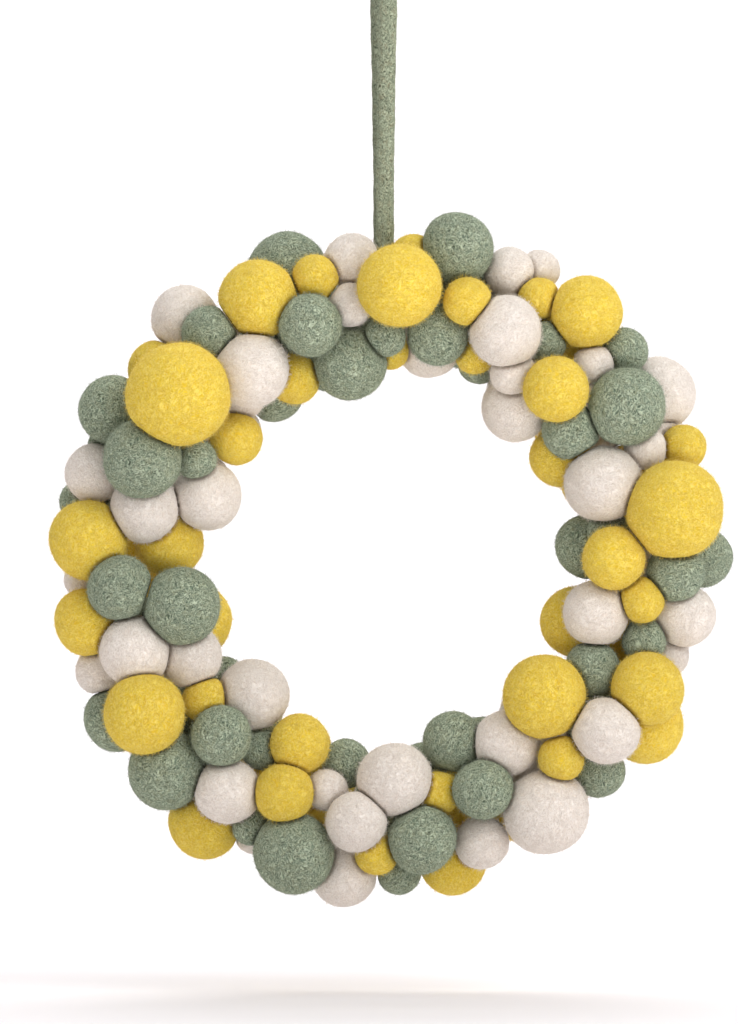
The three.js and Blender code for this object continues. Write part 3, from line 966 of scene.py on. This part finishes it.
@dataclass
class Skin:
    """The surface of a ball or a piece: its mesh and what its felt needs to know at each vertex."""

    verts: np.ndarray
    faces: np.ndarray
    swirl: np.ndarray
    room: np.ndarray
    tone: np.ndarray

    @staticmethod
    def joined(skins: Sequence["Skin"]) -> "Skin":
        """Several skins as one.

        Args:
            skins: At least one skin.

        Returns:
            The skin of all of them.
        """
        starts = np.cumsum([0, *(len(skin.verts) for skin in skins[:-1])])
        faces = np.vstack([skin.faces + start for skin, start in zip(skins, starts)])
        stack = [np.concatenate([getattr(s, name) for s in skins]) for name in ("verts", "swirl", "room", "tone")]
        return Skin(stack[0], faces, *stack[1:])

    def mesh(self, name: str) -> bpy.types.Mesh:
        """The skin as a mesh in metres, smooth, with its felt's attributes.

        Args:
            name: The mesh's name.

        Returns:
            The mesh.
        """
        mesh = bpy.data.meshes.new(name)
        mesh.from_pydata((self.verts * MM).tolist(), [], self.faces.tolist())
        mesh.polygons.foreach_set("use_smooth", np.ones(len(mesh.polygons), bool))
        swirl = mesh.attributes.new("swirl", "FLOAT_VECTOR", "POINT")
        swirl.data.foreach_set("vector", self.swirl.astype(np.float32).ravel())
        for title, values in (("room", self.room), ("tone", self.tone)):
            mesh.attributes.new(title, "FLOAT", "POINT").data.foreach_set("value", values.astype(np.float32))
        mesh.update()
        return mesh


def unit_ball(subdivisions: int) -> tuple[np.ndarray, np.ndarray]:
    """An even sphere of radius 1.

    Args:
        subdivisions: How often its faces are divided, as Blender counts.

    Returns:
        Its vertices and its triangles.
    """
    form = bmesh.new()
    bmesh.ops.create_icosphere(form, subdivisions=subdivisions, radius=1.0)
    verts = np.array([vert.co[:] for vert in form.verts])
    faces = np.array([[vert.index for vert in face.verts] for face in form.faces])
    form.free()
    return verts / np.linalg.norm(verts, axis=1, keepdims=True), faces


def least_of(first: np.ndarray, second: np.ndarray, blend: float) -> np.ndarray:
    """The smaller of each two values, with a soft turn between them where they differ by about blend."""
    lower = np.minimum(first, second)
    return lower - blend * np.log1p(np.exp(-np.abs(first - second) / blend))


@dataclass(frozen=True)
class BallShaper:
    """Turns balls into hand-rolled, pressed felt balls.

    Lengths are in millimetres, and oblate and lump are shares of a ball's radius.
    """

    fine: int = 5
    plain: int = 4
    fine_from: float = 11.0
    gap: float = 0.3
    soft: float = 0.5
    oblate: float = 0.045
    lump: float = 0.018
    octaves: tuple[tuple[float, float], ...] = ((2.4, 1.0), (4.7, 0.5), (9.0, 0.22))
    waves: int = 5
    near: float = 12.0
    meets: float = 1.04
    edge_on: float = 0.02
    room_full: float = 3.0
    tone_spread: float = 0.05

    def skin(self, ball: Ball, others: Iterable[Ball], rng: np.random.Generator) -> Skin:
        """A ball's surface, uneven and pressed by its neighbours.

        Args:
            ball: The ball.
            others: All other balls.
            rng: The ball's own random numbers.

        Returns:
            Its skin, in millimetres in the part's frame.
        """
        fine = not ball.back and ball.radius > self.fine_from
        ways, faces = unit_ball(self.fine if fine else self.plain)
        reach = ball.radius * (1 + self._unevenness(ways, rng))
        neighbours = [b for b in others if distance(b.centre, ball.centre) < ball.radius + b.radius + self.near]
        flats = [flat for flat in CORD.flats(ball) if flat[1] < ball.radius]
        for other in neighbours:
            apart = distance(ball.centre, other.centre)
            flat = (apart**2 + ball.radius**2 - other.radius**2) / (2 * apart)
            if apart < self.meets * (ball.radius + other.radius):
                flats.append(((other.centre - ball.centre) / apart, flat - self.gap / 2))
        for towards, away in flats:
            facing = ways @ towards
            limit = np.where(facing > self.edge_on, away / np.maximum(facing, self.edge_on), 10 * ball.radius)
            reach = least_of(reach, limit, self.soft)
        local = ways * reach[:, None]
        verts = local + ball.centre
        # how near each point lies to a neighbour: the felt paints shade in the crevices by it, and the fuzz thins by
        # it
        room = np.full(len(verts), self.room_full)
        for other in neighbours:
            room = np.minimum(room, np.linalg.norm(verts - other.centre, axis=1) - other.radius)
        axes = np.linalg.qr(rng.normal(size=(3, 3)))[0]
        swirl = local @ axes + rng.uniform(-400, 400, 3)
        tone = np.full(len(verts), 1 + rng.uniform(-1, 1) * self.tone_spread)
        return Skin(verts + CENTRE, faces, swirl, np.clip(room / self.room_full, 0, 1), tone)

    def _unevenness(self, ways: np.ndarray, rng: np.random.Generator) -> np.ndarray:
        """How far a hand-rolled ball is from round: a little flat one way, with lumps of a few sizes.

        Args:
            ways: Directions from the ball's centre, of length 1.
            rng: The ball's own random numbers.

        Returns:
            For each direction, the share of the radius that is added there.
        """
        axis = rng.normal(size=3)
        axis /= np.linalg.norm(axis)
        total = -self.oblate * rng.uniform(0.2, 1.0) * ((ways @ axis) ** 2 - 1 / 3)
        for rate, share in self.octaves:
            for _ in range(self.waves):
                way = rng.normal(size=3)
                way /= np.linalg.norm(way)
                height = self.lump * share / math.sqrt(self.waves)
                total = total + height * np.sin(rate * (ways @ way) + rng.uniform(0, 2 * math.pi))
        return total


@dataclass(frozen=True)
class Fuzz:
    """The stray fibres that stand off a felt, laid by Geometry Nodes where there is room for them."""

    density: float = 1.1
    length: float = 1.7
    width: float = 0.1
    lean: float = 45.0
    shortest: float = 0.3

    def grow(self, felted: bpy.types.Object, fibre: bpy.types.Material, seed: int) -> None:
        """Gives an object its stray fibres, as part of its mesh.

        Args:
            felted: The object, whose mesh has the attribute room.
            fibre: The fibres' material.
            seed: Of where they stand.
        """
        tree, sockets = self._tree()
        modifier = felted.modifiers.new("stray_fibres", "NODES")
        modifier.node_group = tree
        values = {"Density": self.density / MM**2, "Length": self.length * MM, "Seed": seed, "Material": fibre}
        for name, value in values.items():
            modifier[sockets[name]] = value
        evaluated = felted.evaluated_get(bpy.context.evaluated_depsgraph_get())
        mesh = bpy.data.meshes.new_from_object(evaluated)
        felted.modifiers.clear()
        old, felted.data = felted.data, mesh
        mesh.name = old.name
        bpy.data.meshes.remove(old)

    def _tree(self) -> tuple[bpy.types.NodeTree, dict[str, str]]:
        """The tree that lays the fibres, made when it is first asked for.

        Returns:
            The tree, and its inputs' identifiers by their names.
        """
        tree = bpy.data.node_groups.get("stray_fibres")
        if tree is None:
            tree = self._build()
        inputs = [item for item in tree.interface.items_tree if item.in_out == "INPUT"]
        return tree, {item.name: item.identifier for item in inputs}

    def _build(self) -> bpy.types.NodeTree:
        """Makes the tree: fibres on points strewn over the faces, leaning each its own way, joined to the felt.

        Returns:
            The tree.
        """
        tree = bpy.data.node_groups.new("stray_fibres", "GeometryNodeTree")
        add = partial(add_node, tree)
        geometry = {"name": "Geometry", "socket_type": "NodeSocketGeometry"}
        tree.interface.new_socket(in_out="INPUT", **geometry)
        for name, kind in (("Density", "Float"), ("Length", "Float"), ("Seed", "Int"), ("Material", "Material")):
            tree.interface.new_socket(name, in_out="INPUT", socket_type=f"NodeSocket{kind}")
        tree.interface.new_socket(in_out="OUTPUT", **geometry)
        given = add("NodeGroupInput").outputs
        seed = {"Seed": given["Seed"]}
        room = add("GeometryNodeInputNamedAttribute", {"Name": "room"}, data_type="FLOAT")
        density = add("ShaderNodeMath", {0: given["Density"], 1: room}, operation="MULTIPLY")
        felt = {"Mesh": given["Geometry"], "Density": density, **seed}
        where = add("GeometryNodeDistributePointsOnFaces", felt, distribute_method="RANDOM").outputs
        lean = math.radians(self.lean)
        turns = {0: (-lean, -lean, 0.0), 1: (lean, lean, 2 * math.pi)}
        tilt = add("FunctionNodeRandomValue", {**turns, **seed}, data_type="FLOAT_VECTOR")
        leaning = add("FunctionNodeRotateRotation", {0: where["Rotation"], 1: tilt}, rotation_space="LOCAL")
        scale = add("FunctionNodeRandomValue", {2: self.shortest, 3: 1.0, **seed}, data_type="FLOAT")
        scale = add("ShaderNodeMath", {0: scale, 1: given["Length"]}, operation="MULTIPLY")
        stand = {"Points": where["Points"], "Instance": self._fibre(tree), "Rotation": leaning, "Scale": scale}
        placed = add("GeometryNodeInstanceOnPoints", stand)
        real = add("GeometryNodeRealizeInstances", {0: placed})
        fibres = add("GeometryNodeSetMaterial", {0: real, "Material": given["Material"]})
        both = add("GeometryNodeJoinGeometry")
        tree.links.new(fibres.outputs[0], both.inputs[0])
        tree.links.new(given["Geometry"], both.inputs[0])
        add("NodeGroupOutput", {0: both})
        return tree

    def _fibre(self, tree: bpy.types.NodeTree) -> bpy.types.Node:
        """Adds one curled fibre of length 1, as a narrow ribbon.

        Args:
            tree: The tree that it goes into.

        Returns:
            The node whose result is the fibre.
        """
        ends = {"Resolution": 2, "Start": (0, 0, -0.1), "Start Handle": (0, 0, 0.45)}
        curl = {"End Handle": (0.3, 0.1, 0.8), "End": (0.5, 0.4, 0.75)}
        line = add_node(tree, "GeometryNodeCurvePrimitiveBezierSegment", {**ends, **curl})
        half = self.width / self.length / 2
        across = add_node(tree, "GeometryNodeCurvePrimitiveLine", {"Start": (-half, 0, 0), "End": (half, 0, 0)})
        return add_node(tree, "GeometryNodeCurveToMesh", {0: line, 1: across})


# PIECES


def place_piece(name: str, mesh: bpy.types.Mesh, materials: Sequence[bpy.types.Material]) -> bpy.types.Object:
    """Adds a mesh to the scene as an object at the origin.

    Args:
        name: The object's name.
        mesh: Its mesh, in metres in the part's frame.
        materials: Its materials.

    Returns:
        The object.
    """
    for material in materials:
        mesh.materials.append(material)
    piece = bpy.data.objects.new(name, mesh)
    bpy.context.scene.collection.objects.link(piece)
    return piece


@dataclass
class WreathBalls:
    """All the felt balls: one piece for each solid, and one for each small ball that has none."""

    layout: Layout
    shaper: BallShaper
    fuzz: Fuzz

    def build(self) -> list[bpy.types.Object]:
        """Builds the pieces and lets them ride on the body.

        Returns:
            The pieces.
        """
        pieces = []
        balls = self.layout.balls()
        groups = self._by_solid(balls)
        self.layout.round_out(balls)
        balls += self._fill_gaps(groups)
        felts = {felt: (finish.material(), finish.fibre_material()) for felt, finish in FINISHES.items()}
        order = {id(ball): i for i, ball in enumerate(balls)}
        for number, (node, group) in enumerate(groups.items()):
            skins = []
            for ball in group:
                others = [other for other in balls if other is not ball]
                skins.append(self.shaper.skin(ball, others, np.random.default_rng(SEED + order[id(ball)])))
            felt = group[0].felt
            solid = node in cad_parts
            name = f"{node}_balls" if solid else node
            piece = place_piece(name, Skin.joined(skins).mesh(name), felts[felt][:1])
            self.fuzz.grow(piece, felts[felt][1], SEED + number)
            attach(piece, BODY)
            if solid:
                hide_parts(node)
            pieces.append(piece)
        return pieces

    def _fill_gaps(self, groups: dict[str, list[Ball]]) -> list[Ball]:
        """Adds the small balls behind gaps to the groups, one piece for those of each felt.

        Args:
            groups: The balls of each piece, by its name.

        Returns:
            The balls added.
        """
        added = []
        for x, z, size, felt, depth in GAP_BALLS:
            seated = np.array((x, depth, z), float)
            ball = Ball(felt, size / 2, True, 0.0, seated, seated.copy())
            groups.setdefault(f"inner_{felt.value}", []).append(ball)
            added.append(ball)
        return added

    def _by_solid(self, balls: list[Ball]) -> dict[str, list[Ball]]:
        """Finds each ball's solid by its centre.

        Args:
            balls: All the balls, where the solids hold them.

        Returns:
            The balls of each solid, by its node's name, and each ball that no solid holds under a name of its own.
        """
        trees = {}
        for node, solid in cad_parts.items():
            mesh = solid.data
            corners = [vert.co for vert in mesh.vertices]
            trees[node] = BVHTree.FromPolygons(corners, [face.vertices for face in mesh.polygons])
        groups: dict[str, list[Ball]] = {}
        for ball in balls:
            kind = f"felt_{ball.felt.value}_"
            centre = Vector((ball.centre + CENTRE) * MM)
            home = next((node for node, tree in trees.items() if node.startswith(kind) and holds(tree, centre)), None)
            if home is None:
                small = sum(name.startswith(f"small_{ball.felt.value}") for name in groups)
                home = f"small_{ball.felt.value}_{small + 1}"
            groups.setdefault(home, []).append(ball)
        bare = [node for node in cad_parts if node.startswith("felt_") and node not in groups]
        if bare:
            raise ValueError(f"no ball lies in {bare}: the layout differs from the solids'")
        LOG.info("%d balls in %d pieces", len(balls), len(groups))
        return groups


def holds(tree: BVHTree, point: Vector) -> bool:
    """Whether a closed mesh holds a point: how often a line from the point crosses it is odd.

    Args:
        tree: The mesh.
        point: The point.

    Returns:
        Whether the point lies inside.
    """
    way = Vector((0.31, 0.17, 0.93)).normalized()
    crossings = 0
    start = point.copy()
    while (hit := tree.ray_cast(start, way))[0] is not None:
        crossings += 1
        start = hit[0] + way * 1e-6
    return crossings % 2 == 1


@dataclass
class HangingCord:
    """The felted cord, doubled into a loop."""

    route: CordRoute
    fuzz: Fuzz
    sides: int = 20
    uneven: float = 0.035
    pitch: float = 9.0
    lengths: tuple[float, ...] = (1.3, 2.7, 5.1)
    turns: tuple[int, ...] = (0, 1, 2, 3)
    # how dark the back leg is painted, as painted shade from the front leg
    back_leg_shade: float = 0.8

    def build(self) -> list[bpy.types.Object]:
        """Returns:
            The one piece.
        """
        line = self.route.points()
        piece = place_piece("felt_cord", self._skin(line).mesh("felt_cord"), [CORD_FINISH.material()])
        self.fuzz.grow(piece, CORD_FINISH.fibre_material(), SEED)
        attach(piece, BODY)
        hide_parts("hanging_cord")
        return [piece]

    def _skin(self, line: np.ndarray) -> Skin:
        """The cord's surface, a closed and slightly uneven tube. Its back leg is painted darker, as painted shade
        from the front leg.

        Args:
            line: The cord's middle line.

        Returns:
            Its skin, in millimetres in the part's frame.
        """
        rng = np.random.default_rng(SEED)
        ahead = np.gradient(line, axis=0)
        ahead /= np.linalg.norm(ahead, axis=1, keepdims=True)
        beside = np.cross(ahead, np.array([math.cos(self.route.turn), math.sin(self.route.turn), 0.0]))
        beside /= np.linalg.norm(beside, axis=1, keepdims=True)
        across = np.cross(ahead, beside)
        along = np.concatenate([[0], np.cumsum(np.linalg.norm(np.diff(line, axis=0), axis=1))])
        angles = np.linspace(0, 2 * math.pi, self.sides, endpoint=False)
        radius = self.route.diameter / 2 * (1 + self._unevenness(along[:, None], angles[None, :], rng))
        rings = line[:, None] + radius[..., None] * (
            np.cos(angles)[None, :, None] * beside[:, None] + np.sin(angles)[None, :, None] * across[:, None]
        )
        verts = np.vstack([rings.reshape(-1, 3), line[0], line[-1]])
        quads = [
            (i * self.sides + j, i * self.sides + k, (i + 1) * self.sides + k, (i + 1) * self.sides + j)
            for i in range(len(line) - 1)
            for j, k in zip(range(self.sides), [*range(1, self.sides), 0])
        ]
        faces = [(a, b, c) for a, b, c, _ in quads] + [(a, c, d) for a, _, c, d in quads]
        last = (len(line) - 1) * self.sides
        for j, k in zip(range(self.sides), [*range(1, self.sides), 0]):
            faces += [(k, j, len(verts) - 2), (last + j, last + k, len(verts) - 1)]
        swirl = verts - CENTRE
        # painted shade: the back leg's tone is darker, as though the front leg shaded it
        tone = np.where(verts[:, 1] > 0, self.back_leg_shade, 1.0)
        return Skin(verts, np.array(faces), swirl, np.ones(len(verts)), tone)

    def _unevenness(self, along: np.ndarray, angles: np.ndarray, rng: np.random.Generator) -> np.ndarray:
        """How far the felted cord is from an even tube.

        Args:
            along: Distances along the cord, as a column.
            angles: Angles round it, as a row.
            rng: The cord's own random numbers.

        Returns:
            For each distance and angle, the share of the radius that is added there.
        """
        waves = [(turns, length) for turns in self.turns for length in self.lengths]
        total = np.zeros(np.broadcast_shapes(along.shape, angles.shape))
        for turns, length in waves:
            phase = rng.uniform(0, 2 * math.pi)
            rate = 2 * math.pi / (length * self.pitch)
            total += np.sin(turns * angles + rate * along + phase) / math.sqrt(len(waves))
        return self.uneven * total


@dataclass(frozen=True)
class Panel:
    """A soft square light, in metres and watts: its target, its place from there, its side and its power."""

    name: str
    target: tuple[float, float, float]
    offset: tuple[float, float, float]
    size: float
    power: float

    def build(self) -> None:
        """Adds the light, turned to its target and unseen by the camera."""
        data = bpy.data.lights.new(self.name, "AREA")
        data.shape = "SQUARE"
        data.size = self.size
        data.energy = self.power
        light = bpy.data.objects.new(self.name, data)
        offset = Vector(self.offset)
        light.location = Vector(self.target) + offset
        light.rotation_euler = (-offset).to_track_quat("-Z", "Y").to_euler()
        light.visible_camera = False
        bpy.context.scene.collection.objects.link(light)


@dataclass(frozen=True)
class Studio:
    """Camera, light and floor, in the photograph's own frame of view."""

    width: int = 738
    height: int = 1024
    millimetres_per_pixel: float = 0.4375
    centre_pixel: tuple[float, float] = (392.0, 560.0)
    distance: float = 3.0
    front_plane: float = -0.025
    sensor: float = 24.0
    floor_drop: float = 0.0415
    ring_outside: float = 0.15
    floor_wide: float = 4.5
    floor_front: float = -3.4
    floor_back: float = 3.4
    floor_bend: float = 0.6
    bend_steps: int = 12
    wall_height: float = 4.0
    paper: str = "#F9F6F8"
    daylight: float = 0.53
    panels: tuple[Panel, ...] = (
        Panel("key", CENTRE_M, (1.3, -1.5, 1.4), 1.2, 20.0),
        Panel("fill", CENTRE_M, (0.9, -3.5, 0.0), 1.6, 12.5),
        Panel("low", (CENTRE_M[0] + 0.3, CENTRE_M[1] - 0.9, CENTRE_M[2]), (0.0, 0.0, -0.185), 0.8, 7.0),
        Panel("top", CENTRE_M, (0.2, -0.2, 1.6), 3.0, 11.0),
        Panel("wall", (0.0, 3.4, 0.2), (0.0, -1.9, 2.2), 2.5, 72.0),
    )

    def build(self) -> list[bpy.types.Object]:
        """Adds the camera, the light and the floor.

        Returns:
            The floor.
        """
        self._camera()
        self._daylight()
        for panel in self.panels:
            panel.build()
        view = bpy.context.scene.view_settings
        view.view_transform = "Standard"
        view.look = "None"
        return [self._floor()]

    def _camera(self) -> None:
        """Adds the camera, square on to the wreath and framed as the photograph is."""
        pixel = self.millimetres_per_pixel * MM
        data = bpy.data.cameras.new("camera")
        data.sensor_fit = "VERTICAL"
        data.sensor_height = self.sensor
        data.lens = self.sensor * self.distance / (self.height * pixel)
        data.clip_end = 50.0
        camera = bpy.data.objects.new("camera", data)
        across = (self.centre_pixel[0] - self.width / 2) * pixel
        down = (self.centre_pixel[1] - self.height / 2) * pixel
        camera.location = (CENTRE_M[0] - across, self.front_plane - self.distance, CENTRE_M[2] + down)
        camera.rotation_euler = (math.pi / 2, 0.0, 0.0)
        bpy.context.scene.collection.objects.link(camera)
        bpy.context.scene.camera = camera

    def _floor(self) -> bpy.types.Object:
        """Adds a pale floor that turns up into a wall far behind.

        Returns:
            The floor.
        """
        low = CENTRE_M[2] - self.ring_outside - self.floor_drop
        bend, foot = self.floor_bend, self.floor_back - self.floor_bend
        profile = [(self.floor_front, low), (foot, low)]
        for i in range(1, self.bend_steps + 1):
            angle = math.pi / 2 * i / self.bend_steps
            profile.append((foot + bend * math.sin(angle), low + bend * (1 - math.cos(angle))))
        profile.append((self.floor_back, low + self.wall_height))
        verts = [(side * self.floor_wide, y, z) for y, z in profile for side in (-1, 1)]
        faces = [(2 * i, 2 * i + 1, 2 * i + 3, 2 * i + 2) for i in range(len(profile) - 1)]
        mesh = bpy.data.meshes.new("floor")
        mesh.from_pydata(verts, [], faces)
        mesh.polygons.foreach_set("use_smooth", [True] * len(faces))
        floor = place_piece("floor", mesh, [self._paper_material()])
        return floor

    def _paper_material(self) -> bpy.types.Material:
        """Matt background paper: a fine grain and hardly any gloss, so that only soft shade shows on it.

        Returns:
            The material.
        """
        material, shader = new_material("floor_paper")
        tree = material.node_tree
        place = add_node(tree, "ShaderNodeTexCoord").outputs["Object"]
        grain = add_node(tree, "ShaderNodeTexNoise", {"Vector": place, "Scale": 900.0, "Detail": 2.0})
        bump = add_node(tree, "ShaderNodeBump", {"Strength": 0.1, "Distance": 0.2 * MM, "Height": grain})
        tree.links.new(bump.outputs[0], shader.inputs["Normal"])
        shader.inputs["Base Color"].default_value = colour(self.paper)
        shader.inputs["Roughness"].default_value = 0.9
        shader.inputs["Specular IOR Level"].default_value = 0.1
        return material

    def _daylight(self) -> None:
        """Adds even white light from all round."""
        world = bpy.data.worlds.new("studio")
        world.use_nodes = True
        sky = world.node_tree.nodes["Background"].inputs
        sky["Color"].default_value = (1.0, 1.0, 1.0, 1.0)
        sky["Strength"].default_value = self.daylight
        bpy.context.scene.world = world


def main() -> None:
    """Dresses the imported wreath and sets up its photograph."""
    logging.basicConfig(level=logging.INFO, format="%(message)s")
    fuzz = Fuzz()
    for assembly in (Studio(), HangingCord(CORD, fuzz), WreathBalls(Layout(), BallShaper(), fuzz)):
        for piece in assembly.build():
            LOG.info("%s: %d faces", piece.name, len(piece.data.polygons))


if __name__ == "__main__":
    main()
